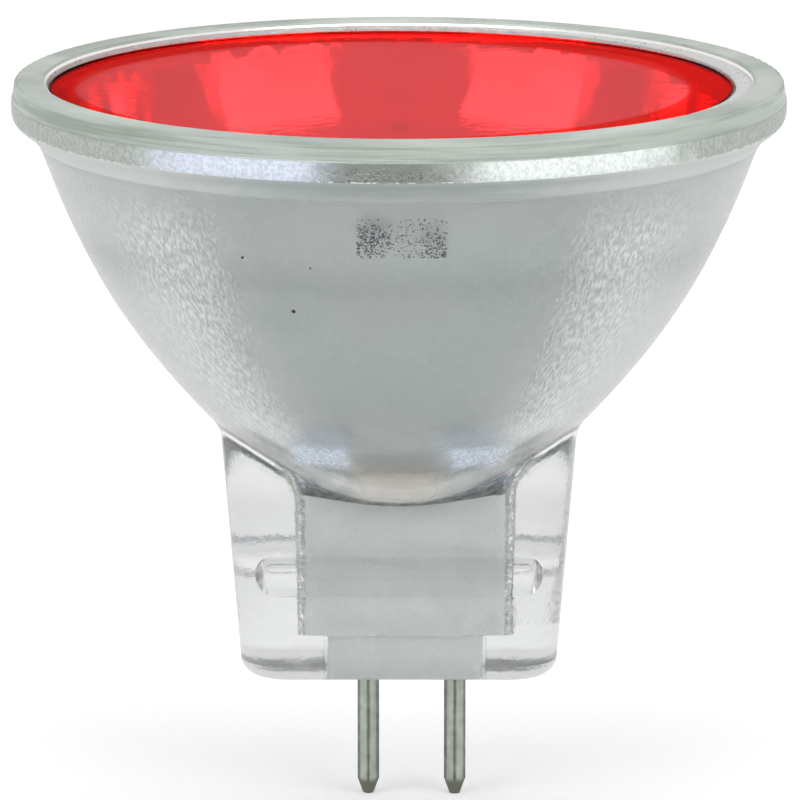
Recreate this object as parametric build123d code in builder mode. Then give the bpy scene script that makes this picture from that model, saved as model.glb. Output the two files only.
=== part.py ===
from build123d import *
from math import acos, cos, degrees, radians, sin, tan
import os

# Low-voltage halogen reflector lamp of the 35 mm size with a two-pin base and a red cover glass.
# It stands as photographed: pins down, mouth up. +Z runs from the pins to the mouth, X runs
# across the two pins, and the origin is the middle of the flat end of the glass neck.

# Rim of the pressed-glass reflector. Insets are measured in from its outer radius
rim_radius = 17.65
rim_crest_inset = 0.15
rim_crest_rounding = 0.22
rim_land_rounding = 0.12
rim_crest_rise = 0.85
parting_step = 0.04
rim_side_length = 0.91
rim_corner_rounding = 0.75
rim_slope_rise = 0.75
collar_inset = 1.12
collar_rounding = 2.3

# Bowl: the height of its foot, then how far it rises from point to point and lies in from the rim
bowl_foot_height = 7.5
bowl_low_rise = 2.55
bowl_low_inset = 11.05
bowl_waist_rise = 4.05
bowl_waist_inset = 7.06
bowl_middle_rise = 4.5
bowl_middle_inset = 3.93
bowl_shoulder_rise = 3.0
bowl_shoulder_inset = 2.46
bowl_top_rise = 2.1
bowl_top_inset = 1.62
collar_rise = 1.34
bowl_wall = 1.45
mirror_shares = (0.22, 0.4, 0.6, 0.8)

# Recess for the cover glass
rim_wall = 1.5
ledge_width = 1.05
recess_depth = 1.4
mirror_top_angle = 80

# Cover glass and its bead
cover_margin = 0.49
cover_thickness = 1.0
cover_edge_rounding = 0.18
cover_shift = -0.35
bedding_gap = 0.02
bead_gap = 0.02
bead_rise = 0.12
bead_sag = 0.14

# Neck
neck_end_width = 14.42
neck_end_depth = 7.2
neck_end_corner = 2.3
neck_draft_width = 4.63
neck_draft_depth = 3.4
neck_end_rounding = 0.85
seam_rounding = 1.3

# Clip groove across each broad face of the neck
groove_height = 5.05
groove_width = 1.9
groove_depth = 0.6
groove_end_margin = 0.26

# Cavity in the neck, with its walls measured at the neck's end
cavity_shift = 0.28
cavity_side_wall = 2.29
cavity_face_wall = 1.2
cavity_corner = 0.7
cavity_draft = 1.2
cavity_top_rise = 1.85
tongue_side_step = 1.17
tongue_face_step = 0.45
tongue_corner = 0.5
tongue_height = 2.1

# Cement
cement_gap = 0.02
cement_recess = 0.15
cement_dip = 0.05

# Contact pins
pin_pitch = 4.0
pin_shift = 0.58
pin_radius = 0.5
pin_reach = 6.1
pin_taper = 0.73
pin_tip_radius = 0.24
pin_tip_rounding = 0.16
pin_shank_radius = 0.32
pin_head_radius = 0.72
pin_head_lift = 0.1
pin_head_thickness = 0.7
pin_socket_depth = 0.55
pin_socket_gap = 0.03

# Capsule of fused quartz
pinch_width = 7.2
pinch_depth = 2.3
pinch_corner = 0.55
pinch_bottom = 4.3
pinch_length = 5.9
panel_width = 5.2
panel_length = 4.2
panel_depth = 0.22
bulb_radius = 3.8
bulb_wall = 0.7
shoulder_length = 2.1
bulb_room_dip = 1.0
room_rounding = 0.9
dome_rise = 2.9
tip_radius = 0.62
tip_length = 1.3
tip_bore = 0.25
tip_bore_length = 0.4
tip_clearance = 1.67

# Leads, foils and coil
wire_radius = 0.2
wire_bend = 0.45
wire_gap = 0.01
lead_spread = 2.0
foil_width = 1.8
foil_thickness = 0.04
foil_margin = 1.0
weld_length = 0.8
coil_radius = 0.55
coil_wire_radius = 0.11
coil_turns = 8.5
coil_lift = 2.6
coil_length = 4.0
coil_leg = 1.25
leg_overlap = 0.11
leg_set_in = 0.04
lead_knee = 0.7
lead_step = 0.3

# How far a cutter runs past the face it opens
cut_over = 1.0

# Radii and heights of the reflector that follow from the ones above
rim_crest_radius = rim_radius - rim_crest_inset
collar_radius = rim_radius - collar_inset
recess_radius = rim_radius - rim_wall
ledge_radius = recess_radius - ledge_width
bowl_low_radius = rim_radius - bowl_low_inset
bowl_waist_radius = rim_radius - bowl_waist_inset
bowl_middle_radius = rim_radius - bowl_middle_inset
bowl_shoulder_radius = rim_radius - bowl_shoulder_inset
bowl_top_radius = rim_radius - bowl_top_inset
bowl_low_height = bowl_foot_height + bowl_low_rise
bowl_waist_height = bowl_low_height + bowl_waist_rise
bowl_middle_height = bowl_waist_height + bowl_middle_rise
bowl_shoulder_height = bowl_middle_height + bowl_shoulder_rise
bowl_top_height = bowl_shoulder_height + bowl_top_rise
collar_height = bowl_top_height + collar_rise
rim_corner_height = collar_height + rim_slope_rise
parting_height = rim_corner_height + rim_side_length
rim_height = parting_height + rim_crest_rise
ledge_height = rim_height - recess_depth

# Places in and on the neck. It is drawn up to the bowl's middle, where the hollow cuts it away
neck_top_height = bowl_middle_height
neck_top_width = neck_end_width + 2 * neck_top_height * tan(radians(neck_draft_width))
neck_top_depth = neck_end_depth + 2 * neck_top_height * tan(radians(neck_draft_depth))
groove_length = neck_end_width - 2 * groove_end_margin
groove_rod = (groove_width**2 / 4 + groove_depth**2) / (2 * groove_depth)
groove_face_y = neck_end_depth / 2 + groove_height * tan(radians(neck_draft_depth))
groove_axis_y = groove_face_y + groove_rod - groove_depth
cavity_half_width = neck_end_width / 2 - cavity_side_wall
cavity_half_depth = neck_end_depth / 2 - cavity_face_wall
cavity_top_height = bowl_low_height + cavity_top_rise
tongue_half_width = cavity_half_width - tongue_side_step
tongue_half_depth = cavity_half_depth - tongue_face_step
cement_top = bowl_foot_height + bowl_wall - cement_dip

# Places of the cover glass and its bead
cover_radius = recess_radius - cover_margin
cover_bottom = ledge_height + bedding_gap
cover_top = cover_bottom + cover_thickness
bead_outer = recess_radius - bead_gap
bead_inner = cover_radius + cover_shift
bead_top = cover_top + bead_rise
bead_floor = ledge_height + bead_gap

# Places of the pins, the capsule, the foils and the coil
left_pin_x = pin_shift - pin_pitch / 2
right_pin_x = pin_shift + pin_pitch / 2
pin_head_bottom = tongue_height + pin_head_lift
pin_head_top = pin_head_bottom + pin_head_thickness
lead_low = pin_head_top - pin_socket_depth + wire_gap
pinch_top = pinch_bottom + pinch_length
panel_height = (pinch_bottom + pinch_top) / 2
bulb_foot = pinch_top + shoulder_length
bulb_room_bottom = bulb_foot - bulb_room_dip
tip_top = cover_bottom - tip_clearance
bulb_top = tip_top - tip_length
tip_bore_top = bulb_top + tip_bore_length
bulb_straight_top = bulb_top - dome_rise
room_radius = bulb_radius - bulb_wall
dome_angle = degrees(acos(tip_radius / bulb_radius))
room_dome_angle = degrees(acos(tip_bore / room_radius))
foil_bottom = pinch_bottom + foil_margin
foil_top = pinch_top - foil_margin
foil_middle = (foil_bottom + foil_top) / 2
foil_y = wire_radius + foil_thickness / 2 + wire_gap
coil_bottom = bulb_room_bottom + coil_lift
coil_top = coil_bottom + coil_length
weld_x = coil_radius + coil_wire_radius + wire_radius + wire_gap

# The reflector: the turned bowl and rim run into the drafted neck over a rounded seam, and the
# stepped cavity breaks up through the bowl's foot. It is the shape that takes the most care.
with BuildPart() as reflector:
    with BuildSketch(Plane.YZ) as glass_outside:
        with BuildLine() as glass_outline:
            bowl_curve = Spline(
                (0, bowl_foot_height),
                (bowl_low_radius, bowl_low_height),
                (bowl_waist_radius, bowl_waist_height),
                (bowl_middle_radius, bowl_middle_height),
                (bowl_shoulder_radius, bowl_shoulder_height),
                (bowl_top_radius, bowl_top_height),
                tangents=(
                    (1, 0),
                    (collar_radius - bowl_top_radius, collar_height - bowl_top_height),
                ),
            )
            Polyline(
                bowl_curve @ 1,
                (collar_radius, collar_height),
                (rim_radius, rim_corner_height),
                (rim_radius, parting_height),
                (rim_radius - parting_step, parting_height + parting_step),
                (rim_crest_radius, rim_height),
                (0, rim_height),
                (0, bowl_foot_height),
            )
        make_face()
        crest = glass_outside.vertices().sort_by_distance((rim_crest_radius, rim_height))[0]
        fillet(crest, rim_crest_rounding)
        corner = glass_outside.vertices().sort_by_distance((rim_radius, rim_corner_height))[0]
        fillet(corner, rim_corner_rounding)
        collar = glass_outside.vertices().sort_by_distance((collar_radius, collar_height))[0]
        fillet(collar, collar_rounding)
    revolve(axis=Axis.Z)

    with BuildSketch(Plane.XY) as neck_end:
        RectangleRounded(neck_end_width, neck_end_depth, neck_end_corner)
    with BuildSketch(Plane.XY.offset(neck_top_height)) as neck_top:
        RectangleRounded(neck_top_width, neck_top_depth, neck_end_corner)
    loft()
    fillet(reflector.edges(Select.NEW), seam_rounding)
    fillet(reflector.faces().sort_by(Axis.Z)[0].edges(), neck_end_rounding)

    # The mirror wall runs parallel to the outside, then a flat ledge and a straight recess wall
    with BuildSketch(Plane.YZ) as hollow:
        with BuildLine() as hollow_outline:
            wall_points = []
            for share in mirror_shares:
                along = bowl_curve % share
                wall_points.append(bowl_curve @ share + bowl_wall * Vector(-along.Y, along.X))
            mirror_curve = Spline(
                (0, bowl_foot_height + bowl_wall),
                *[(point.X, point.Y) for point in wall_points],
                (ledge_radius, ledge_height),
                tangents=((1, 0), (cos(radians(mirror_top_angle)), sin(radians(mirror_top_angle)))),
            )
            Polyline(
                mirror_curve @ 1,
                (recess_radius, ledge_height),
                (recess_radius, rim_height - rim_land_rounding),
                (recess_radius + rim_land_rounding, rim_height),
                (recess_radius + rim_land_rounding, rim_height + cut_over),
                (0, rim_height + cut_over),
                (0, bowl_foot_height + bowl_wall),
            )
        make_face()
    revolve(axis=Axis.Z, mode=Mode.SUBTRACT)

    # Cavity: a narrow tongue at the open end and a wider block above the step
    with BuildSketch(Plane.XY) as tongue_hole:
        with Locations((cavity_shift, 0)):
            RectangleRounded(2 * tongue_half_width, 2 * tongue_half_depth, tongue_corner)
    extrude(amount=tongue_height, mode=Mode.SUBTRACT)
    with BuildSketch(Plane.XY.offset(tongue_height)) as block_hole:
        with Locations((cavity_shift, 0)):
            RectangleRounded(2 * cavity_half_width, 2 * cavity_half_depth, cavity_corner)
    extrude(amount=cavity_top_height - tongue_height, taper=-cavity_draft, mode=Mode.SUBTRACT)

    # Clip grooves: a round-ended rod pressed into each broad face
    for side in (-1, 1):
        rod_y = side * groove_axis_y
        with BuildSketch(Plane.XY.offset(groove_height)):
            with Locations((0, rod_y)):
                SlotOverall(groove_length, 2 * groove_rod)
            with Locations((0, rod_y + groove_rod)):
                Rectangle(2 * groove_length, 2 * groove_rod, mode=Mode.SUBTRACT)
        revolve(axis=Axis((0, rod_y, groove_height), (1, 0, 0)), mode=Mode.SUBTRACT)

# Red cover glass, a flat disc that lies on the ledge a little to the left of the middle
with BuildPart() as cover_glass:
    with BuildSketch(Plane.XY.offset(cover_bottom)):
        with Locations((cover_shift, 0)):
            Circle(cover_radius)
    extrude(amount=cover_thickness)
    fillet(cover_glass.edges(), cover_edge_rounding)

# Clear bead between the disc's edge and the recess wall, with a hollow top
with BuildPart() as cover_seal:
    with BuildSketch(Plane.XZ):
        with BuildLine():
            Polyline(
                (bead_inner, cover_top),
                (bead_inner, bead_floor),
                (bead_outer, bead_floor),
                (bead_outer, bead_top),
            )
            SagittaArc((bead_outer, bead_top), (bead_inner, cover_top), -bead_sag)
        make_face()
    revolve(axis=Axis.Z)
    with BuildSketch(Plane.XY.offset(ledge_height)):
        with Locations((cover_shift, 0)):
            Circle(cover_radius + bead_gap)
    extrude(amount=rim_height - ledge_height, mode=Mode.SUBTRACT)

# Outer leads: from the socket of each pin, in an S-bend, to the foil in the pinch
with BuildPart() as outer_lead_left:
    with BuildLine():
        FilletPolyline(
            (left_pin_x, 0, lead_low),
            (left_pin_x, 0, pin_head_top + lead_step),
            (-lead_spread, 0, pinch_bottom - lead_step),
            (-lead_spread, 0, foil_bottom + weld_length),
            radius=wire_bend,
        )
    with BuildSketch(Plane.XY.offset(lead_low)):
        with Locations((left_pin_x, 0)):
            Circle(wire_radius)
    sweep()

with BuildPart() as outer_lead_right:
    with BuildLine():
        FilletPolyline(
            (right_pin_x, 0, lead_low),
            (right_pin_x, 0, pin_head_top + lead_step),
            (lead_spread, 0, pinch_bottom - lead_step),
            (lead_spread, 0, foil_bottom + weld_length),
            radius=wire_bend,
        )
    with BuildSketch(Plane.XY.offset(lead_low)):
        with Locations((right_pin_x, 0)):
            Circle(wire_radius)
    sweep()

# Foils that carry the current through the pinch
with BuildPart() as foil_left:
    with Locations((-lead_spread, foil_y, foil_middle)):
        Box(foil_width, foil_thickness, foil_top - foil_bottom)

with BuildPart() as foil_right:
    with Locations((lead_spread, foil_y, foil_middle)):
        Box(foil_width, foil_thickness, foil_top - foil_bottom)

# Coil on the lamp's axis, with a straight leg at each end
with BuildPart() as filament:
    with BuildLine() as coil_path:
        Helix(coil_length / coil_turns, coil_length, coil_radius, center=(0, 0, coil_bottom))
    with BuildSketch(Plane(origin=coil_path.line @ 0, z_dir=coil_path.line % 0)):
        Circle(coil_wire_radius)
    sweep(is_frenet=True)
    with Locations((coil_radius, leg_set_in, coil_bottom - (coil_leg - leg_overlap) / 2)):
        Cylinder(coil_wire_radius, coil_leg + leg_overlap)
    with Locations((-coil_radius, leg_set_in, coil_top + (coil_leg - leg_overlap) / 2)):
        Cylinder(coil_wire_radius, coil_leg + leg_overlap)

# Inner leads: the short one meets the coil's lower leg, the long one its upper leg
with BuildPart() as inner_lead_right:
    with BuildLine():
        FilletPolyline(
            (lead_spread, 0, foil_top - weld_length),
            (lead_spread, 0, coil_bottom - coil_leg - lead_knee),
            (weld_x, 0, coil_bottom - coil_leg),
            (weld_x, 0, coil_bottom - coil_leg + weld_length),
            radius=wire_bend,
        )
    with BuildSketch(Plane.XY.offset(foil_top - weld_length)):
        with Locations((lead_spread, 0)):
            Circle(wire_radius)
    sweep()

with BuildPart() as inner_lead_left:
    with BuildLine():
        FilletPolyline(
            (-lead_spread, 0, foil_top - weld_length),
            (-lead_spread, 0, coil_top + coil_leg - weld_length - lead_knee),
            (-weld_x, 0, coil_top + coil_leg - weld_length),
            (-weld_x, 0, coil_top + coil_leg),
            radius=wire_bend,
        )
    with BuildSketch(Plane.XY.offset(foil_top - weld_length)):
        with Locations((-lead_spread, 0)):
            Circle(wire_radius)
    sweep()

# Quartz capsule: the turned bulb with its sealed tip, the flat pinch, and a shoulder from one to
# the other
with BuildPart() as capsule_envelope:
    with BuildSketch(Plane.XZ):
        with BuildLine():
            Polyline((0, bulb_foot), (bulb_radius, bulb_foot), (bulb_radius, bulb_straight_top))
            dome = EllipticalCenterArc(
                (0, bulb_straight_top), bulb_radius, bulb_top - bulb_straight_top, 0, arc_size=dome_angle
            )
            Polyline(dome @ 1, (tip_radius, tip_top - tip_radius))
            CenterArc((0, tip_top - tip_radius), tip_radius, 0, 90)
            Polyline((0, tip_top), (0, bulb_foot))
        make_face()
    revolve(axis=Axis.Z)
    with BuildSketch(Plane.XY.offset(pinch_top)) as shoulder_foot:
        RectangleRounded(pinch_width, pinch_depth, pinch_corner)
    with BuildSketch(Plane.XY.offset(bulb_foot)) as shoulder_head:
        Circle(bulb_radius)
    loft()
    with BuildSketch(Plane.XY.offset(pinch_bottom)):
        RectangleRounded(pinch_width, pinch_depth, pinch_corner)
    extrude(amount=pinch_top - pinch_bottom)
    with BuildSketch(Plane.XZ) as bulb_room:
        with BuildLine():
            room_dome = EllipticalCenterArc(
                (0, bulb_straight_top),
                room_radius,
                bulb_top - bulb_wall - bulb_straight_top,
                0,
                arc_size=room_dome_angle,
            )
            Polyline(
                room_dome @ 1,
                (tip_bore, tip_bore_top),
                (0, tip_bore_top),
                (0, bulb_room_bottom),
                (room_radius, bulb_room_bottom),
                (room_radius, bulb_straight_top),
            )
        make_face()
        foot = bulb_room.vertices().sort_by_distance((room_radius, bulb_room_bottom))[0]
        fillet(foot, room_rounding)
    revolve(axis=Axis.Z, mode=Mode.SUBTRACT)
    # Pressed panels on the pinch's broad faces
    for side in (-1, 1):
        with Locations((0, side * pinch_depth / 2, panel_height)):
            Box(panel_width, 2 * panel_depth, panel_length, mode=Mode.SUBTRACT)
    # Pockets for the foils and the ends of the leads
    for side in (-1, 1):
        with Locations((side * lead_spread, foil_y, foil_middle)):
            Box(
                foil_width + 2 * wire_gap,
                foil_thickness + 2 * wire_gap,
                foil_top - foil_bottom + 2 * wire_gap,
                mode=Mode.SUBTRACT,
            )
        lower_bore = foil_bottom + weld_length + wire_gap - pinch_bottom
        with Locations((side * lead_spread, 0, pinch_bottom + lower_bore / 2)):
            Cylinder(wire_radius + wire_gap, lower_bore, mode=Mode.SUBTRACT)
        upper_bore = bulb_room_bottom - foil_top + weld_length + wire_gap
        with Locations((side * lead_spread, 0, bulb_room_bottom - upper_bore / 2)):
            Cylinder(wire_radius + wire_gap, upper_bore, mode=Mode.SUBTRACT)

# Contact pins: turned, with a tapered end, a thinner shank and a head that the cement holds
with BuildPart() as pin_left:
    with BuildSketch(Plane.XZ):
        with BuildLine():
            Polyline(
                (left_pin_x, -pin_reach),
                (left_pin_x + pin_tip_radius, -pin_reach),
                (left_pin_x + pin_radius, -pin_reach + pin_taper),
                (left_pin_x + pin_radius, cement_recess),
                (left_pin_x + pin_shank_radius, cement_recess),
                (left_pin_x + pin_shank_radius, pin_head_bottom),
                (left_pin_x + pin_head_radius, pin_head_bottom),
                (left_pin_x + pin_head_radius, pin_head_top),
                (left_pin_x, pin_head_top),
                close=True,
            )
        make_face()
    revolve(axis=Axis((left_pin_x, 0, 0), (0, 0, 1)))
    with Locations((left_pin_x, 0, pin_head_top - pin_socket_depth / 2)):
        Cylinder(wire_radius + pin_socket_gap, pin_socket_depth, mode=Mode.SUBTRACT)
    fillet(pin_left.edges().sort_by(Axis.Z)[0], pin_tip_rounding)

with BuildPart() as pin_right:
    with BuildSketch(Plane.XZ):
        with BuildLine():
            Polyline(
                (right_pin_x, -pin_reach),
                (right_pin_x + pin_tip_radius, -pin_reach),
                (right_pin_x + pin_radius, -pin_reach + pin_taper),
                (right_pin_x + pin_radius, cement_recess),
                (right_pin_x + pin_shank_radius, cement_recess),
                (right_pin_x + pin_shank_radius, pin_head_bottom),
                (right_pin_x + pin_head_radius, pin_head_bottom),
                (right_pin_x + pin_head_radius, pin_head_top),
                (right_pin_x, pin_head_top),
                close=True,
            )
        make_face()
    revolve(axis=Axis((right_pin_x, 0, 0), (0, 0, 1)))
    with Locations((right_pin_x, 0, pin_head_top - pin_socket_depth / 2)):
        Cylinder(wire_radius + pin_socket_gap, pin_socket_depth, mode=Mode.SUBTRACT)

# Cement: fills the cavity round the pinch, the leads and the shanks of the pins
with BuildPart() as neck_cement:
    with BuildSketch(Plane.XY.offset(cement_recess)):
        with Locations((cavity_shift, 0)):
            RectangleRounded(
                2 * (tongue_half_width - cement_gap),
                2 * (tongue_half_depth - cement_gap),
                tongue_corner - cement_gap,
            )
    extrude(amount=tongue_height + cement_gap - cement_recess)
    with BuildSketch(Plane.XY.offset(tongue_height + cement_gap)):
        with Locations((cavity_shift, 0)):
            RectangleRounded(
                2 * (cavity_half_width - cement_gap),
                2 * (cavity_half_depth - cement_gap),
                cavity_corner - cement_gap,
            )
    extrude(amount=cement_top - tongue_height - cement_gap, taper=-cavity_draft)
    # Pocket for the pinch
    with BuildSketch(Plane.XY.offset(pinch_bottom - cement_gap)):
        RectangleRounded(
            pinch_width + 2 * cement_gap, pinch_depth + 2 * cement_gap, pinch_corner + cement_gap
        )
    extrude(amount=cement_top - pinch_bottom + 2 * cement_gap, mode=Mode.SUBTRACT)
    # Holes for the pins
    for pin_x in (left_pin_x, right_pin_x):
        with Locations((pin_x, 0, pin_head_bottom / 2)):
            Cylinder(pin_shank_radius + cement_gap, pin_head_bottom, mode=Mode.SUBTRACT)
        head_room = pin_head_top - pin_head_bottom + 2 * cement_gap
        with Locations((pin_x, 0, (pin_head_bottom + pin_head_top) / 2)):
            Cylinder(pin_head_radius + cement_gap, head_room, mode=Mode.SUBTRACT)
    # Channels for the outer leads
    for pin_x, foil_x in ((left_pin_x, -lead_spread), (right_pin_x, lead_spread)):
        with BuildLine(mode=Mode.PRIVATE) as channel_path:
            FilletPolyline(
                (pin_x, 0, pin_head_top),
                (pin_x, 0, pin_head_top + lead_step),
                (foil_x, 0, pinch_bottom - lead_step),
                (foil_x, 0, pinch_bottom + lead_step),
                radius=wire_bend,
            )
        with BuildSketch(Plane.XY.offset(pin_head_top), mode=Mode.PRIVATE) as channel_end:
            with Locations((pin_x, 0)):
                Circle(wire_radius + cement_gap)
        sweep(channel_end.sketch, path=channel_path.line, mode=Mode.SUBTRACT)

os.makedirs("parts", exist_ok=True)
reflector.part.label = "reflector"
export_step(reflector.part, "parts/reflector.step")
cover_glass.part.label = "cover_glass"
export_step(cover_glass.part, "parts/cover_glass.step")
cover_seal.part.label = "cover_seal"
export_step(cover_seal.part, "parts/cover_seal.step")
neck_cement.part.label = "neck_cement"
export_step(neck_cement.part, "parts/neck_cement.step")
capsule_envelope.part.label = "capsule_envelope"
export_step(capsule_envelope.part, "parts/capsule_envelope.step")
filament.part.label = "filament"
export_step(filament.part, "parts/filament.step")
foil_left.part.label = "foil_left"
export_step(foil_left.part, "parts/foil_left.step")
foil_right.part.label = "foil_right"
export_step(foil_right.part, "parts/foil_right.step")
inner_lead_left.part.label = "inner_lead_left"
export_step(inner_lead_left.part, "parts/inner_lead_left.step")
inner_lead_right.part.label = "inner_lead_right"
export_step(inner_lead_right.part, "parts/inner_lead_right.step")
outer_lead_left.part.label = "outer_lead_left"
export_step(outer_lead_left.part, "parts/outer_lead_left.step")
outer_lead_right.part.label = "outer_lead_right"
export_step(outer_lead_right.part, "parts/outer_lead_right.step")
pin_left.part.label = "pin_left"
export_step(pin_left.part, "parts/pin_left.step")
pin_right.part.label = "pin_right"
export_step(pin_right.part, "parts/pin_right.step")
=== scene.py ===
"""Looks of a halogen reflector lamp: pressed glass, mirror film, red cover glass, cement and two pins."""

import math

import bmesh
import bpy
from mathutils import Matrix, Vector


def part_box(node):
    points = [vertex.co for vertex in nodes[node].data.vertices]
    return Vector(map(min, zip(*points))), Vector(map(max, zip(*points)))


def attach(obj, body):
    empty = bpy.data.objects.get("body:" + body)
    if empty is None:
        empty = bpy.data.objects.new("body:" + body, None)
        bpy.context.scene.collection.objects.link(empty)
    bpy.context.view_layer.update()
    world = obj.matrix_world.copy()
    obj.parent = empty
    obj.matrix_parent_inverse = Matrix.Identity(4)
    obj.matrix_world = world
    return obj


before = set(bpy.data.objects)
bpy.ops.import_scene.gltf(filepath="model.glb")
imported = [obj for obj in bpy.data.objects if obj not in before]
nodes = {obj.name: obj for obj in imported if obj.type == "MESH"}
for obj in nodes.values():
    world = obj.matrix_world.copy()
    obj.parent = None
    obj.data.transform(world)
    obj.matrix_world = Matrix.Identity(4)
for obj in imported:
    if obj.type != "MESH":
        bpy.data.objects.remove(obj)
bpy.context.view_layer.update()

MM = 0.001

# Heights above the neck's end, in millimetres, at which the looks change
NECK_TOP = 7.5
FILM_FOOT = 9.6
SLOPE_FOOT = 24.6
RING_FOOT = 25.2
RIM_EDGE = 25.8
RIM_SHOULDER = 26.7
COVER_FACE = 27.165
# Distances across the front, in millimetres
PIN_PITCH = 4.0
PIN_SHIFT = 0.58
CAVITY_SHIFT = 0.28
CAVITY_WALL = 4.95
# How wide a soft change is, in millimetres
SOFT = 0.04


class Web:
    """A socket in a material's tree. Arithmetic on it adds Math nodes, and add() makes any other node."""

    def __init__(self, tree, socket=None):
        self.tree = tree
        self.socket = socket

    def add(self, kind, settings=None, inputs=None, out=0):
        made = self.tree.nodes.new(kind)
        for name, value in (settings or {}).items():
            setattr(made, name, value)
        for name, value in (inputs or {}).items():
            if isinstance(value, Web):
                self.tree.links.new(value.socket, made.inputs[name])
            else:
                made.inputs[name].default_value = value
        return Web(self.tree, made.outputs[out] if made.outputs else None)

    def maths(self, operation, *values):
        return self.add("ShaderNodeMath", {"operation": operation}, dict(enumerate(values)))

    def __add__(self, other):
        return self.maths("ADD", self, other)

    def __radd__(self, other):
        return self.maths("ADD", other, self)

    def __sub__(self, other):
        return self.maths("SUBTRACT", self, other)

    def __rsub__(self, other):
        return self.maths("SUBTRACT", other, self)

    def __mul__(self, other):
        return self.maths("MULTIPLY", self, other)

    def __rmul__(self, other):
        return self.maths("MULTIPLY", other, self)

    def __truediv__(self, other):
        return self.maths("DIVIDE", self, other)

    def __rtruediv__(self, other):
        return self.maths("DIVIDE", other, self)

    def __pow__(self, other):
        return self.maths("POWER", self, other)

    def most(self, other):
        return self.maths("MAXIMUM", self, other)

    def size(self):
        return self.maths("ABSOLUTE", self)

    def step(self, low, high):
        """0 below low, 1 above high and smooth between; low may be the larger one."""
        return self.add(
            "ShaderNodeMapRange",
            {"interpolation_type": "SMOOTHSTEP"},
            {"Value": self, "From Min": low, "From Max": high, "To Min": 0.0, "To Max": 1.0},
        )

    def band(self, middle, half, soft):
        """1 within half of middle, falling to 0 over soft."""
        return (self - middle).size().step(half + soft, half)

    def tint(self, first, second):
        """The colour first where this is 0, and second where it is 1."""
        return self.add("ShaderNodeMix", {"data_type": "RGBA"}, {0: self, 6: first, 7: second}, 2)


class Finish(Web):
    """A material's tree, with the object's own coordinates in millimetres at hand."""

    def __init__(self, name):
        self.material = bpy.data.materials.new(name)
        self.material.use_nodes = True
        super().__init__(self.material.node_tree)
        self.tree.nodes.clear()
        self.place = self.add("ShaderNodeTexCoord", out="Object")
        parts = self.add("ShaderNodeSeparateXYZ", None, {"Vector": self.place})
        node = parts.socket.node
        self.x = Web(self.tree, node.outputs[0]) * 1000.0
        self.y = Web(self.tree, node.outputs[1]) * 1000.0
        self.z = Web(self.tree, node.outputs[2]) * 1000.0
        self.radius = (self.x * self.x + self.y * self.y) ** 0.5

    def grain(self, size, detail=2.0, stretch=(1.0, 1.0, 1.0), rough=0.5):
        """Noise from 0 to 1 whose lumps are about size millimetres; stretch draws them out along an axis."""
        place = self.add(
            "ShaderNodeMapping",
            None,
            {"Vector": self.place, "Scale": tuple(1.0 / (s * size * MM) for s in stretch)},
        )
        return self.add(
            "ShaderNodeTexNoise",
            None,
            {"Vector": place, "Scale": 1.0, "Detail": detail, "Roughness": rough},
        )

    def fibres(self, across, up, detail=3.0, rough=0.6):
        """Noise drawn out up and down the bowl, across millimetres wide where its radius is middle."""
        middle = 12.0
        angle = self.maths("ARCTAN2", self.x, self.y * -1.0)
        place = self.add("ShaderNodeCombineXYZ", None, {"X": angle * (middle / across), "Y": self.z / up})
        return self.add(
            "ShaderNodeTexNoise", None, {"Vector": place, "Scale": 1.0, "Detail": detail, "Roughness": rough}
        )

    def cells(self, size):
        """The distance to the middle of the nearest cell, for cells of about size millimetres."""
        place = self.add(
            "ShaderNodeMapping", None, {"Vector": self.place, "Scale": (1.0 / (size * MM),) * 3}
        )
        return self.add("ShaderNodeTexVoronoi", None, {"Vector": place, "Scale": 1.0}, "Distance")

    def relief(self, height, depth=1.0, strength=1.0):
        """A bump from a height, which at 1 stands depth millimetres."""
        inputs = {"Height": height, "Distance": depth * MM, "Strength": strength}
        return self.add("ShaderNodeBump", None, inputs)

    def shader(self, **sockets):
        inputs = {name.replace("_", " "): value for name, value in sockets.items()}
        return self.add("ShaderNodeBsdfPrincipled", {"subsurface_method": "RANDOM_WALK"}, inputs)

    def blend(self, factor, first, second):
        return self.add("ShaderNodeMixShader", None, {0: factor, 1: first, 2: second})

    def done(self, surface):
        self.add("ShaderNodeOutputMaterial", None, {"Surface": surface})
        return self.material


def rgb(r, g, b):
    return (r, g, b, 1.0)


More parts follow.
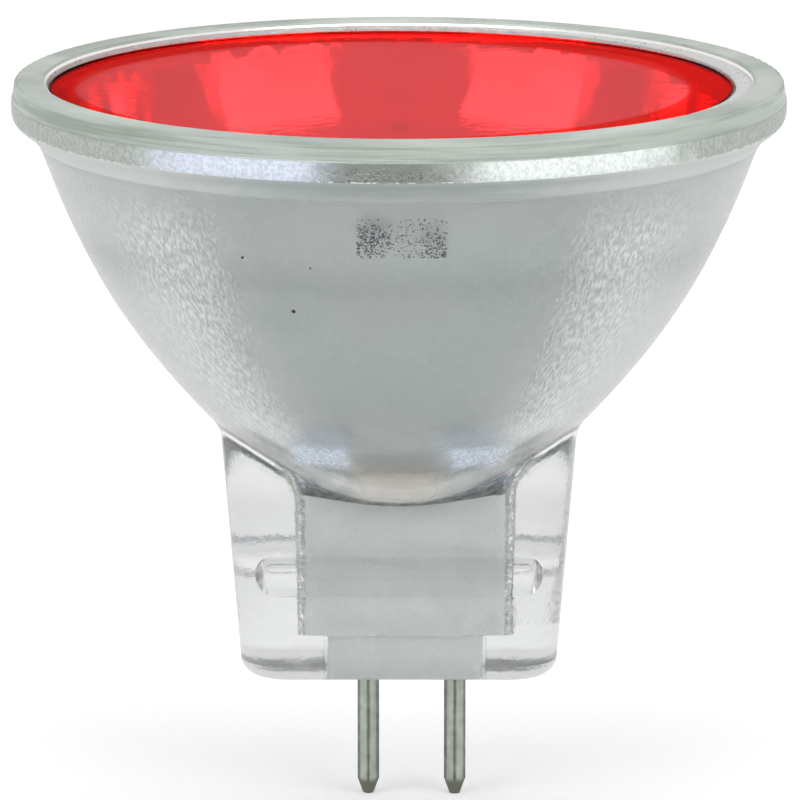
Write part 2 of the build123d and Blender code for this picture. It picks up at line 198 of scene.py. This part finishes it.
def pressed_glass():
    """Clear pressed glass: a smooth neck, a scuffed bowl, and a hammered and rather milky rim."""
    f = Finish("pressed_glass")
    # A few noises serve the whole body, from broad drifts down to fine grains
    broad = f.grain(1.6, 2.0) - 0.5
    ripple = f.grain(0.9, 2.0)
    grit = f.grain(0.3, 3.0, rough=0.7)
    powder = f.grain(0.15, 2.0, (1.0, 1.0, 1.3), 0.6).step(0.36, 0.64)
    bump = f.relief(ripple * 0.015 + powder * 0.003)

    def clear(tone, rough, normal):
        return f.shader(Base_Color=tone, Roughness=rough, IOR=1.5, Transmission_Weight=1.0, Normal=normal)

    def clouded(depth, glass, tone):
        return f.blend(depth, glass, f.add("ShaderNodeBsdfDiffuse", None, {"Color": tone, "Normal": bump}))

    # The bowl's outer side: hazy milkiness, lightened toward the flanks as painted sheen, a band of painted
    # highlights down each flank, and pale bluish patches and a peach tint by the foot, which are painted
    # highlights and a painted reflection
    turn = f.x.size() / f.radius
    # A band at a fixed angle round the bowl, where painted highlights go
    highlight_streak = turn.band(0.66, 0.03, 0.22) * f.z.step(25.0, 22.0)
    flecks = f.fibres(0.13, 0.4, 2.0).step(0.38, 0.66) * highlight_streak
    # flank is toward the sides of the bowl, where the haze and the slope are lightened: painted sheen
    flank = (turn + broad * 0.2).step(0.2, 0.75)
    slope = f.z.step(SLOPE_FOOT, SLOPE_FOOT + 0.3)
    haze_and_sheen = powder.tint(rgb(0.35, 0.38, 0.375), rgb(0.56, 0.60, 0.585))
    haze_and_sheen = flank.tint(haze_and_sheen, powder.tint(rgb(0.70, 0.73, 0.715), rgb(0.81, 0.835, 0.82)))
    tone = slope.tint(haze_and_sheen, flank.tint(rgb(0.43, 0.475, 0.465), rgb(0.70, 0.73, 0.71)))
    # Painted highlights: white flecks along the band down each flank
    tone = flecks.tint(tone, rgb(0.93, 0.95, 0.94))
    # Two bluish white patches by the foot: painted highlights
    bluish_highlight = (f.z + broad * 0.4).band(11.45, 0.35, 0.6) * (f.x.size() + broad * 1.5).band(3.5, 0.9, 1.0)
    tone = bluish_highlight.tint(tone, rgb(0.76, 0.85, 1.0))
    # A warm peach tint low in the middle of the bowl: painted reflection
    blush = f.z.band(9.7, 0.5, 0.7) * (f.x + broad).size().step(2.6, 1.2)
    tone = blush.step(0.0, 0.3).tint(tone, rgb(0.86, 0.79, 0.72))
    # Three dark nicks on the front: how far across, how high and how large
    nicks = None
    for across, up, size in ((-4.63, 19.3, 0.08), (-6.86, 21.8, 0.04), (-3.9, 21.5, 0.03)):
        away = ((f.x - across) * (f.x - across) + (f.z - up) * (f.z - up)) ** 0.5
        nick = (away + (grit - 0.5) * 0.2).step(size + SOFT, size)
        nicks = nick if nicks is None else nicks.most(nick)
    nicks = nicks * f.y.step(-9.0, -10.0)
    tone = nicks.tint(tone, rgb(0.04, 0.04, 0.04))
    # How milky the bowl is: more on the flanks, in the flecks and in the bluish patches, which carries the
    # painted sheen and painted highlights
    depth = f.z.step(11.0, 13.0) * (0.12 + flank * 0.26 + flecks * 0.22)
    depth = depth.most(slope * 0.75).most(bluish_highlight * (0.26 + powder * 0.42)).most(blush * 0.4)
    depth = depth.most(nicks * 0.95)
    body = clear(rgb(0.89, 0.905, 0.89), 0.15, bump)
    # The middle of the bowl's wall follows a parabola, and what lies beyond it is the outer side
    wall_radius = f.z * (1.69 - f.z * 0.0284) - 8.72
    outside = (f.radius - wall_radius).step(-0.1, 0.1)
    surface = f.blend(outside, body, clouded(depth, body, tone))

    # The neck, with a faint skin on its outer faces
    skin = f.y.size().step(2.7, 2.9).most(f.x.size().step(6.0, 6.2))
    neck = clear(rgb(0.81, 0.825, 0.815), 0.08, bump)
    tone = ripple.tint(rgb(0.62, 0.64, 0.62), rgb(0.93, 0.94, 0.93))
    neck = clouded(skin * (0.08 + ripple * 0.14), neck, tone)
    surface = f.blend(f.z.step(NECK_TOP + 1.5, NECK_TOP), surface, neck)

    # The rim: its side carries painted reflections, violet blue on the left and white on the right, with a
    # mottled grey stretch between
    side = f.z.step(RIM_SHOULDER + SOFT, RIM_SHOULDER - SOFT)
    top = f.z.step(RIM_SHOULDER - 2.0 * SOFT, RIM_SHOULDER + SOFT)
    drift = f.x + broad * 3.0
    violet = (side * drift.band(-6.4, 2.4, 2.2)).tint(rgb(0.89, 0.93, 0.89), rgb(0.84, 0.87, 1.0))
    hammered = f.relief(ripple * 0.015 + powder * (0.003 + side * 0.05))
    lines = f.grain(0.5, 2.0, (14.0, 14.0, 0.5), 0.6).step(0.3, 0.7)
    left = drift.band(-6.6, 2.2, 3.2)
    right = drift.band(7.2, 3.4, 3.0)
    tone = side.tint(lines.tint(rgb(0.42, 0.48, 0.42), rgb(0.70, 0.77, 0.70)), rgb(0.60, 0.65, 0.60))
    tone = (side * left).tint(tone, rgb(0.80, 0.86, 1.0))
    tone = (side * right).tint(tone, rgb(0.94, 1.0, 0.98))
    # Painted glints: white sparks along the rim's lower edge
    spark = f.z.step(RIM_EDGE + 0.07, RIM_EDGE + 0.03) * grit.step(0.5, 0.56)
    tone = spark.tint(tone, rgb(0.98, 0.98, 0.98))
    # glint makes the rim's side more milky toward its sides, where the painted reflections lie: painted sheen
    glint = 0.1 + f.x.size().step(2.6, 5.0) * 0.45 + left * 0.3 + right * 0.35
    depth = (top * 0.5).most(side * (0.7 + powder * 0.3) * glint).most(spark * 0.85)
    rim = clouded(depth, clear(violet, 0.1 + top * 0.17, hammered), tone)
    surface = f.blend(f.z.step(RIM_EDGE - SOFT, RIM_EDGE + SOFT), surface, rim)

    # Grey residue along the cavity's side walls
    wall = (f.x - CAVITY_SHIFT).size().band(CAVITY_WALL, 0.28, 0.14) * f.y.size().step(2.85, 2.65)
    wall = wall * f.z.step(1.9, 2.2) * f.z.step(12.2, 11.5) * grit.step(0.4, 0.52) * 0.85
    grey = grit.step(0.4, 0.6).tint(rgb(0.20, 0.21, 0.23), rgb(0.64, 0.66, 0.64))
    return f.done(clouded(wall, surface, grey))


def satin_film():
    """The mirror film's outer side: satin grey, with painted reflections in interference colours at its foot
    and under the rim.
    """
    f = Finish("satin_film")
    cloud = f.grain(6.0, 3.0)
    fine = f.grain(0.22, 3.0)
    mottle = f.grain(0.55, 3.0, (1.6, 1.6, 0.5), 0.65)
    speck = fine.step(0.3, 0.7)
    bump = f.relief(fine, 0.016)
    rough = 0.42 + fine * 0.14
    tone = (cloud * 0.6 + speck * 0.4).tint(rgb(0.54, 0.61, 0.61), rgb(0.68, 0.71, 0.71))
    tone = (cloud.step(0.45, 0.65) * 0.4).tint(tone, rgb(0.66, 0.63, 0.68))
    # Painted sheen: the lower flanks are lighter
    low_flank = f.x.size().step(2.5, 6.5) * f.z.step(19.0, 13.5)
    tone = (low_flank * 0.85).tint(tone, rgb(0.88, 0.91, 0.90))
    metal = f.shader(Base_Color=tone, Metallic=1.0, Roughness=rough, Normal=bump)

    # The foot: violet and peach tints and two bluish white patches, all painted reflections, and a dark
    # mottled edge
    wander = cloud - 0.5
    high = f.z.step(FILM_FOOT, FILM_FOOT + 0.8)
    violet = f.z.step(13.8, 12.6) * high * (f.x + wander * 2.0).size().band(3.6, 1.1, 1.4)
    tone = violet.tint(tone, rgb(0.84, 0.90, 1.0))
    peach = high * (f.x + 0.4 + wander).band(0.0, 1.1, 1.3) * f.z.step(12.0, 11.0)
    tone = (peach * 0.8).tint(tone, rgb(0.86, 0.76, 0.68))
    hem = f.z.step(10.7, 10.1) * f.x.size().step(1.0, 2.6)
    blotch = (mottle * 0.7 + speck * 0.3).step(0.42, 0.58)
    tone = hem.tint(tone, blotch.tint(rgb(0.22, 0.29, 0.38), rgb(0.66, 0.62, 0.68)))
    last = f.z.step(FILM_FOOT + 0.15, FILM_FOOT - 0.15)
    tone = last.tint(tone, speck.tint(rgb(0.12, 0.16, 0.20), rgb(0.50, 0.50, 0.46)))
    edge = (mottle - 0.5) * 2.0
    # Two bluish white patches: painted highlights
    bluish_highlight = (f.z + edge * 0.3).band(12.55, 0.3, 0.7) * (f.x.size() + edge).band(3.5, 0.7, 1.1)
    white = f.add("ShaderNodeBsdfDiffuse", None, {"Color": rgb(0.76, 0.86, 1.0), "Normal": bump})
    foot = f.shader(Base_Color=tone, Metallic=1.0, Roughness=rough, Normal=bump)
    foot = f.blend(bluish_highlight.step(0.2, 0.8) * 0.85, foot, white)
    surface = f.blend(f.z.step(13.9, 13.8), metal, foot)

    # The ring under the rim: painted reflections, bright at the sides and dark, mottled and orange-brown in
    # the middle
    dull = (f.x + wander * 3.0).band(0.2, 2.9, 1.2)
    bright = mottle.step(0.25, 0.6).tint(rgb(0.78, 0.84, 0.82), rgb(0.97, 1.0, 0.98))
    dark = mottle.step(0.38, 0.6).tint(rgb(0.12, 0.16, 0.19), rgb(0.62, 0.66, 0.58))
    dark = (f.z.step(25.7, 25.5) * 0.6).tint(dark, rgb(0.62, 0.42, 0.28))
    tone = f.z.step(26.12, 26.2).tint(dull.tint(bright, dark), rgb(0.70, 0.76, 0.70))
    beaten = f.relief(fine * 0.016 + mottle * 0.056)
    ring = f.shader(Base_Color=tone, Metallic=1.0, Roughness=rough - 0.16, Normal=beaten)
    return f.done(f.blend(f.z.step(RING_FOOT, RING_FOOT + 0.25), surface, ring))


def bright_mirror():
    """The mirror film's side that faces the capsule."""
    f = Finish("bright_mirror")
    edge = f.z.step(23.5, 26.0)
    bump = f.relief(f.grain(0.5, 2.0) * (edge * 0.016 + 0.001))
    return f.done(
        f.shader(Base_Color=rgb(0.98, 0.95, 0.96), Metallic=1.0, Roughness=0.05 + edge * 0.1, Normal=bump)
    )


def red_glass():
    """Dyed glass. Its flat top bends light but hardly shines at a flat angle, so the red stays deep."""
    f = Finish("red_glass")
    fine = f.grain(0.6, 2.0)
    bump = f.relief(fine, 0.01, 0.3)
    body = f.shader(
        Base_Color=rgb(0.95, 0.15, 0.17), Roughness=0.02, IOR=1.5, Transmission_Weight=1.0, Normal=bump
    )
    pane = {"Roughness": 0.02, "IOR": 1.5, "Normal": bump}
    middle = f.add("ShaderNodeBsdfRefraction", None, {"Color": rgb(0.94, 0.40, 0.41), **pane})
    border = f.add("ShaderNodeBsdfRefraction", None, {"Color": rgb(0.95, 0.08, 0.05), **pane})
    # The border's deeper red is painted, standing in for light reflected inside the glass's edge. The border
    # is a little wider on the right, so its inner circle sits left of the middle
    left = f.x + 0.75
    away = (left * left + f.y * f.y) ** 0.5
    face = f.blend(away.step(13.85, 14.2), middle, border)
    sheen = f.add("ShaderNodeBsdfGlossy", None, {"Color": rgb(1, 1, 1), "Roughness": 0.03, "Normal": bump})
    facing = f.add("ShaderNodeLayerWeight", None, {"Blend": 0.5}, "Facing")
    face = f.blend(facing.step(0.9, 0.4) * 0.04 + 0.01, face, sheen)
    return f.done(f.blend(f.z.step(COVER_FACE - 0.045, COVER_FACE), body, face))


def clear_bead():
    """The uneven clear sealant round the cover glass."""
    f = Finish("clear_bead")
    rough = f.grain(0.5, 3.0, rough=0.6)
    bump = f.relief(rough, 0.12, 0.8)
    return f.done(
        f.shader(
            Base_Color=rough.tint(rgb(0.82, 0.85, 0.83), rgb(0.97, 0.98, 0.97)),
            Roughness=0.2 + rough * 0.2,
            IOR=1.42,
            Transmission_Weight=0.5,
            Normal=bump,
        )
    )


def cement():
    """White ceramic cement, cloudy, fine-grained and pored."""
    f = Finish("white_cement")
    cloud = f.grain(2.2, 3.0)
    fine = f.grain(0.14, 3.0, rough=0.6)
    pores = f.cells(0.5).step(0.16, 0.08)
    tone = (cloud * 0.6 + fine * 0.4).step(0.3, 0.7).tint(rgb(0.87, 0.93, 0.91), rgb(0.96, 1.0, 0.985))
    bump = f.relief(fine - pores * 0.7, 0.06, 0.6)
    return f.done(f.shader(Base_Color=tone, Roughness=0.85 + fine * 0.1, IOR=1.45, Normal=bump))


def drawn_steel():
    """The pins' wire, with lengthwise lines, painted reflections across it and a darker tip."""
    f = Finish("drawn_steel")
    lines = f.grain(0.05, 3.0, (1.0, 1.0, 40.0), 0.6)
    cloud = f.grain(0.5, 3.0)
    tip = f.z.step(-5.2, -5.6)
    # Painted reflections across each pin: two bright runs, painted highlights, lie between dark flanks and a
    # dark middle line, painted reflections of dark surroundings
    across = f.maths("WRAP", f.x - PIN_SHIFT, PIN_PITCH, 0.0) - PIN_PITCH / 2.0
    highlight_run = across.size().band(0.23, 0.1, 0.12)
    grey = highlight_run * 0.6 + (lines * 0.5 + cloud * 0.5).step(0.3, 0.7) * 0.4
    tone = grey.tint(rgb(0.07, 0.08, 0.065), rgb(0.47, 0.51, 0.45))
    tone = tip.tint(tone, rgb(0.17, 0.175, 0.14))
    bump = f.relief(lines, 0.02, 0.9)
    return f.done(
        f.shader(Base_Color=tone, Metallic=1.0, Roughness=0.3 + lines * 0.16 + tip * 0.1, Normal=bump)
    )


def quartz():
    """The capsule's clear quartz, with faint draw lines."""
    f = Finish("quartz")
    draw = f.grain(1.2, 2.0, (1.0, 1.0, 3.0))
    bump = f.relief(draw, 0.02, 0.4)
    return f.done(
        f.shader(
            Base_Color=rgb(0.97, 0.98, 0.98),
            Roughness=0.01 + draw * 0.03,
            IOR=1.46,
            Transmission_Weight=1.0,
            Normal=bump,
        )
    )


def dark_metal(name, low, high, size, rough):
    """Wire or foil whose grey varies from low to high in clouds of size millimetres."""
    f = Finish(name)
    cloud = f.grain(size, 3.0)
    return f.done(
        f.shader(
            Base_Color=cloud.tint(low, high),
            Metallic=1.0,
            Roughness=rough + cloud * 0.1,
            Normal=f.relief(cloud, 0.006, 0.5),
        )
    )


tungsten = dark_metal("tungsten", rgb(0.30, 0.29, 0.28), rgb(0.44, 0.43, 0.42), 0.05, 0.35)
molybdenum = dark_metal("molybdenum", rgb(0.40, 0.39, 0.38), rgb(0.56, 0.55, 0.54), 0.2, 0.3)
steel = drawn_steel()
finishes = {
    "reflector": pressed_glass(),
    "cover_glass": red_glass(),
    "cover_seal": clear_bead(),
    "neck_cement": cement(),
    "capsule_envelope": quartz(),
    "filament": tungsten,
    "pin_left": steel,
    "pin_right": steel,
}
for name, node in nodes.items():
    node.data.materials.clear()
    node.data.materials.append(finishes.get(name, molybdenum))


def film_from(glass, gap, thickness):
    """A thin closed skin over the bowl's mirror wall, made of the glass's own faces, so it ends with them."""
    mouth = 16.2 * MM
    neck_reach = 6 * MM
    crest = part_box("reflector")[1].z
    copy = bmesh.new()
    copy.from_mesh(glass.data)
    bmesh.ops.remove_doubles(copy, verts=copy.verts, dist=1e-7)
    whole = copy.verts[:] + copy.edges[:] + copy.faces[:]
    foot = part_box("neck_cement")[1].z - 0.05 * MM
    bmesh.ops.bisect_plane(copy, geom=whole, plane_co=(0, 0, foot), plane_no=(0, 0, 1), clear_inner=True)
    extra = []
    for face in copy.faces:
        middle = face.calc_center_median()
        away = math.hypot(middle.x, middle.y)
        inward = -(face.normal.x * middle.x + face.normal.y * middle.y) / max(away, 1e-9)
        inside = away < mouth and middle.z < crest - 0.15 * MM
        outer = away > neck_reach and (face.normal.z < -0.01 or inward < -0.05)
        if not inside or outer or face.normal.z < -0.1:
            extra.append(face)
    bmesh.ops.delete(copy, geom=extra, context="FACES")
    loose = [v for v in copy.verts if not v.link_faces]
    bmesh.ops.delete(copy, geom=loose, context="VERTS")
    copy.normal_update()
    for vert in copy.verts:
        vert.co += vert.normal * gap
    copy.normal_update()
    outer_faces = copy.faces[:]
    border = [e for e in copy.edges if len(e.link_faces) == 1]
    ends = [tuple(e.verts) for e in border]
    directions = [(v, v.normal.copy()) for v in copy.verts]
    twins = bmesh.ops.duplicate(copy, geom=copy.verts[:] + copy.edges[:] + copy.faces[:])["vert_map"]
    for vert, direction in directions:
        twins[vert].co = vert.co + direction * thickness
    for first, second in ends:
        copy.faces.new((first, second, twins[second], twins[first]))
    for face in outer_faces:
        face.normal_flip()
        face.material_index = 1
    bmesh.ops.recalc_face_normals(copy, faces=copy.faces[:])
    mesh = bpy.data.meshes.new("mirror_film")
    copy.to_mesh(mesh)
    copy.free()
    for polygon in mesh.polygons:
        polygon.use_smooth = True
    film = bpy.data.objects.new("mirror_film", mesh)
    bpy.context.scene.collection.objects.link(film)
    mesh.materials.append(bright_mirror())
    mesh.materials.append(satin_film())
    return film


film = film_from(nodes["reflector"], 0.004 * MM, 0.008 * MM)
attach(film, "root")


def flat_ink():
    f = Finish("worn_ink")
    tone = f.grain(0.1, 2.0).tint(rgb(0.02, 0.02, 0.025), rgb(0.07, 0.07, 0.08))
    return f.done(f.shader(Base_Color=tone, Roughness=0.55))


def cut_patch(glass, low, high):
    """The glass's own outer faces between two corners, in metres."""
    copy = bmesh.new()
    copy.from_mesh(glass.data)
    for axis in (0, 2):
        for corner, sign in ((low, -1.0), (high, 1.0)):
            normal = [0.0, 0.0, 0.0]
            normal[axis] = sign
            place = [0.0, 0.0, 0.0]
            place[axis] = corner[axis]
            whole = copy.verts[:] + copy.edges[:] + copy.faces[:]
            bmesh.ops.bisect_plane(copy, geom=whole, plane_co=place, plane_no=normal, clear_outer=True)
    extra = [face for face in copy.faces if face.normal.y > -0.2 or face.calc_center_median().y > high[1]]
    bmesh.ops.delete(copy, geom=extra, context="FACES")
    mesh = bpy.data.meshes.new("ink_patch")
    copy.to_mesh(mesh)
    copy.free()
    return mesh


class Grove(Web):
    """A Geometry Nodes tree with named inputs."""

    def __init__(self, name, inputs):
        super().__init__(bpy.data.node_groups.new(name, "GeometryNodeTree"))
        face = self.tree.interface
        face.new_socket("Geometry", in_out="INPUT", socket_type="NodeSocketGeometry")
        face.new_socket("Geometry", in_out="OUTPUT", socket_type="NodeSocketGeometry")
        self.names = {}
        for title, (kind, value) in inputs.items():
            made = face.new_socket(title, in_out="INPUT", socket_type=kind)
            self.names[title] = (made.identifier, value)
        self.entry = self.tree.nodes.new("NodeGroupInput")

    def take(self, title):
        return Web(self.tree, self.entry.outputs[title])

    def grow(self, name, mesh):
        """The tree's result on a mesh, as a mesh object of its own with no modifier left."""
        seed = bpy.data.objects.new(name + "_seed", mesh)
        bpy.context.scene.collection.objects.link(seed)
        modifier = seed.modifiers.new("nodes", "NODES")
        modifier.node_group = self.tree
        for identifier, value in self.names.values():
            modifier[identifier] = value
        graph = bpy.context.evaluated_depsgraph_get()
        grown = bpy.data.meshes.new_from_object(seed.evaluated_get(graph))
        grown.name = name
        bpy.data.objects.remove(seed)
        made = bpy.data.objects.new(name, grown)
        bpy.context.scene.collection.objects.link(made)
        return made


def ink_flecks(glass):
    """Worn ink: small flat flecks in two loose clumps and a thin scatter between them."""
    g = Grove(
        "ink_flecks",
        {
            "Flecks per square metre": ("NodeSocketFloat", 3.8e8),
            "Clump size": ("NodeSocketFloat", 0.4 * MM),
            "Fleck length": ("NodeSocketFloat", 0.075 * MM),
            "Fleck height": ("NodeSocketFloat", 0.012 * MM),
            "Seed": ("NodeSocketInt", 7),
            "Ink": ("NodeSocketMaterial", flat_ink()),
        },
    )
    place = g.add("GeometryNodeInputPosition")
    parts = g.add("ShaderNodeSeparateXYZ", None, {"Vector": place}).socket.node
    x, z = Web(g.tree, parts.outputs[0]) / MM, Web(g.tree, parts.outputs[2]) / MM
    clump = g.add(
        "ShaderNodeTexNoise",
        None,
        {"Vector": place, "Scale": 1.0 / g.take("Clump size"), "Detail": 2.0, "Roughness": 0.6},
    )
    # Where the ink is left, in millimetres across the front and up it
    left = x.band(-1.35, 0.42, 0.25)
    right = x.band(1.45, 0.5, 0.25)
    middle = x.band(0.4, 0.5, 0.6) * 0.3
    ends = z.band(23.0, 0.8, 0.25)
    amount = (0.12 + clump.step(0.45, 0.58)) * left.most(right).most(middle) * ends
    points = g.add(
        "GeometryNodeDistributePointsOnFaces",
        {"distribute_method": "RANDOM"},
        {
            "Mesh": g.take("Geometry"),
            "Density": amount * g.take("Flecks per square metre"),
            "Seed": g.take("Seed"),
        },
    )
    aligned = Web(g.tree, points.socket.node.outputs["Rotation"])
    fleck = g.add(
        "GeometryNodeMeshCylinder",
        None,
        {"Vertices": 6, "Radius": g.take("Fleck length") / 2.0, "Depth": g.take("Fleck height")},
    )

    def draw(least, most, seed):
        """A random number for each fleck. Its sockets are the node's float ones."""
        return g.add("FunctionNodeRandomValue", {"data_type": "FLOAT"}, {2: least, 3: most, "Seed": seed}, 1)

    long = draw(0.35, 1.35, g.take("Seed"))
    wide = draw(0.3, 0.8, g.take("Seed") + 1.0)
    turn = draw(0.0, 6.283, g.take("Seed") + 2.0)
    spin = g.add("ShaderNodeCombineXYZ", None, {"Z": turn})
    spin = g.add("FunctionNodeEulerToRotation", None, {"Euler": spin})
    spin = g.add(
        "FunctionNodeRotateRotation", {"rotation_space": "LOCAL"}, {"Rotation": aligned, "Rotate By": spin}
    )
    scale = g.add("ShaderNodeCombineXYZ", None, {"X": long, "Y": long * wide, "Z": 1.0})
    placed = g.add(
        "GeometryNodeInstanceOnPoints",
        None,
        {"Points": points, "Instance": fleck, "Rotation": spin, "Scale": scale},
    )
    whole = g.add("GeometryNodeRealizeInstances", None, {"Geometry": placed})
    inked = g.add("GeometryNodeSetMaterial", None, {"Geometry": whole, "Material": g.take("Ink")})
    g.add("NodeGroupOutput", None, {"Geometry": inked})
    patch = cut_patch(glass, (-1.85 * MM, -17 * MM, 22.1 * MM), (2.1 * MM, -10 * MM, 23.95 * MM))
    return g.grow("ink_flecks", patch)


ink = ink_flecks(nodes["reflector"])
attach(ink, "root")


# The room, the lamps and the camera
pin_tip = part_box("pin_left")[0].z


def stage_plane(name, half, height):
    """A square of the room, which isn't part of the object."""
    mesh = bpy.data.meshes.new(name)
    mesh.from_pydata(
        [(-half, -half, height), (half, -half, height), (half, half, height), (-half, half, height)],
        [],
        [(0, 1, 2, 3)],
    )
    plane = bpy.data.objects.new(name, mesh)
    bpy.context.scene.collection.objects.link(plane)
    return plane


def seen_directly(web):
    """1 for camera, glossy and transmission rays, which see the white room, and 0 for the light it gives."""
    path = web.add("ShaderNodeLightPath").socket.node
    rays = [Web(web.tree, path.outputs[n]) for n in ("Is Camera Ray", "Is Glossy Ray", "Is Transmission Ray")]
    return rays[0].most(rays[1]).most(rays[2])


floor = stage_plane("floor", 3.0, pin_tip)
f = Finish("pale_floor")
lit = f.add("ShaderNodeBsdfDiffuse", None, {"Color": rgb(0.8, 0.8, 0.8)})
path = f.add("ShaderNodeLightPath").socket.node
# The floor shines a little for what sees it straight on, and more so close to the lamp: a painted pool of
# light that lifts the lamp's own shadow where the glass and film reflect the floor
glow = seen_directly(f) * (0.06 + f.radius.step(110.0, 30.0) * 0.22)
glow = glow.most(0.25 * Web(f.tree, path.outputs["Is Camera Ray"]))
own = f.add("ShaderNodeEmission", None, {"Color": rgb(1, 1, 1), "Strength": glow})
floor.data.materials.append(f.done(f.add("ShaderNodeAddShader", None, {0: lit, 1: own})))

world = bpy.data.worlds.new("studio")
bpy.context.scene.world = world
world.use_nodes = True
world.node_tree.nodes.clear()
w = Web(world.node_tree)
path = w.add("ShaderNodeLightPath").socket.node
camera_ray = Web(w.tree, path.outputs["Is Camera Ray"])
# White for the camera, and plainer for the light and the reflections
studio = 0.6 + 0.27 * seen_directly(w)
strength = studio + (1.0 - studio) * camera_ray
background = w.add("ShaderNodeBackground", None, {"Color": rgb(1, 1, 1), "Strength": strength})
w.add("ShaderNodeOutputWorld", None, {"Surface": background})


def softbox(name, place, target, width, height, power):
    """A rectangular lamp at place that faces target, in metres and watts."""
    light = bpy.data.lights.new(name, "AREA")
    light.shape = "RECTANGLE"
    light.size = width
    light.size_y = height
    light.energy = power
    lamp = bpy.data.objects.new(name, light)
    lamp.location = place
    lamp.rotation_mode = "QUATERNION"
    lamp.rotation_quaternion = (Vector(target) - Vector(place)).to_track_quat("-Z", "Y")
    bpy.context.scene.collection.objects.link(lamp)
    return lamp


aim = Vector((0.0, 0.0, 0.014))
for name, turn in (("left_softbox", -49.0), ("right_softbox", 48.0)):
    turn, rise = math.radians(turn), math.radians(22.0)
    away = Vector((math.sin(turn) * math.cos(rise), -math.cos(turn) * math.cos(rise), math.sin(rise)))
    softbox(name, aim + away, aim, 0.78, 0.42, 3.6)
softbox("top_softbox", (0.0, 0.1, 1.2), aim, 1.0, 1.0, 4.3)

camera = bpy.data.objects.new("camera", bpy.data.cameras.new("camera"))
bpy.context.scene.collection.objects.link(camera)
# The lens, tilt and distance were fitted to the photo, which is 800 pixels wide
picture_width = 800.0
focal_pixels = 7626.8
camera.data.sensor_width = 36.0
camera.data.lens = focal_pixels * camera.data.sensor_width / picture_width
tilt = math.radians(11.717)
centre = Vector((0.0, 0.0, 14.0 * MM))
camera.location = centre + 350 * MM * Vector((0.0, -math.cos(tilt), math.sin(tilt)))
camera.rotation_mode = "QUATERNION"
camera.rotation_quaternion = (centre - camera.location).to_track_quat("-Z", "Y")
camera.data.shift_x = 1.0 / picture_width
camera.data.shift_y = -31.7 / picture_width
camera.data.clip_start = 0.01
camera.data.clip_end = 20.0
bpy.context.scene.camera = camera
bpy.context.scene.view_settings.view_transform = "Standard"
